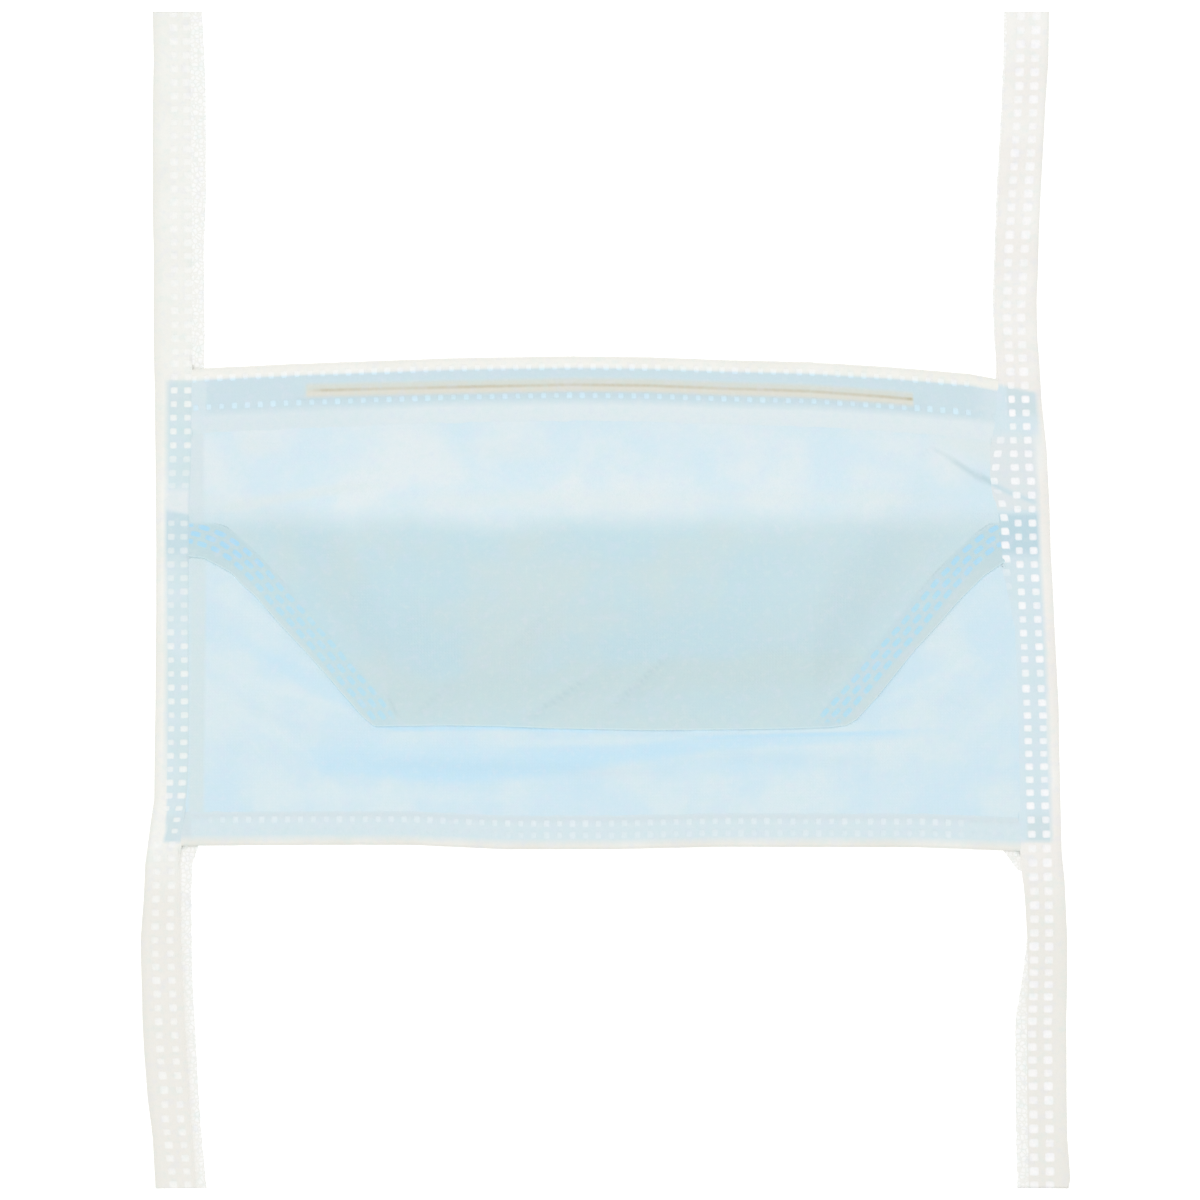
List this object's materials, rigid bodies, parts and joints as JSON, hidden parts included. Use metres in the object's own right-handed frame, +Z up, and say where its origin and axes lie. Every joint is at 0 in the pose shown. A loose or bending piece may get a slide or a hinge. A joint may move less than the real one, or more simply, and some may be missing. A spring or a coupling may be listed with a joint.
{
  "type": "surgical face mask",
  "caption": "Tie-on pouch face mask of pale blue nonwoven cloth, lying flat with a folded pouch, bound edges, a nose wire and long flat ties.",
  "frame": {"origin": "middle of the bounding box, on the surface that the mask lies on", "axes": "+Z up off the surface, out of the mask's outer side; +Y towards the nose edge; +X to the right as seen from above"},
  "size_m": [0.183, 0.232, 0.0091],
  "materials": {
    "blue_cloth": "matte pale blue nonwoven",
    "top_strip": "matte white nonwoven",
    "bottom_strip": "matte white nonwoven",
    "wire": "coated, tan",
    "left_strip": "matte cream-white nonwoven",
    "right_strip": "matte cream-white nonwoven"
  },
  "bodies": {
    "root": {"mask_body": "blue_cloth", "top_binding": "top_strip", "bottom_binding": "bottom_strip", "nose_wire": "wire", "left_tie": "left_strip", "right_tie": "right_strip"}
  },
  "joints": []
}
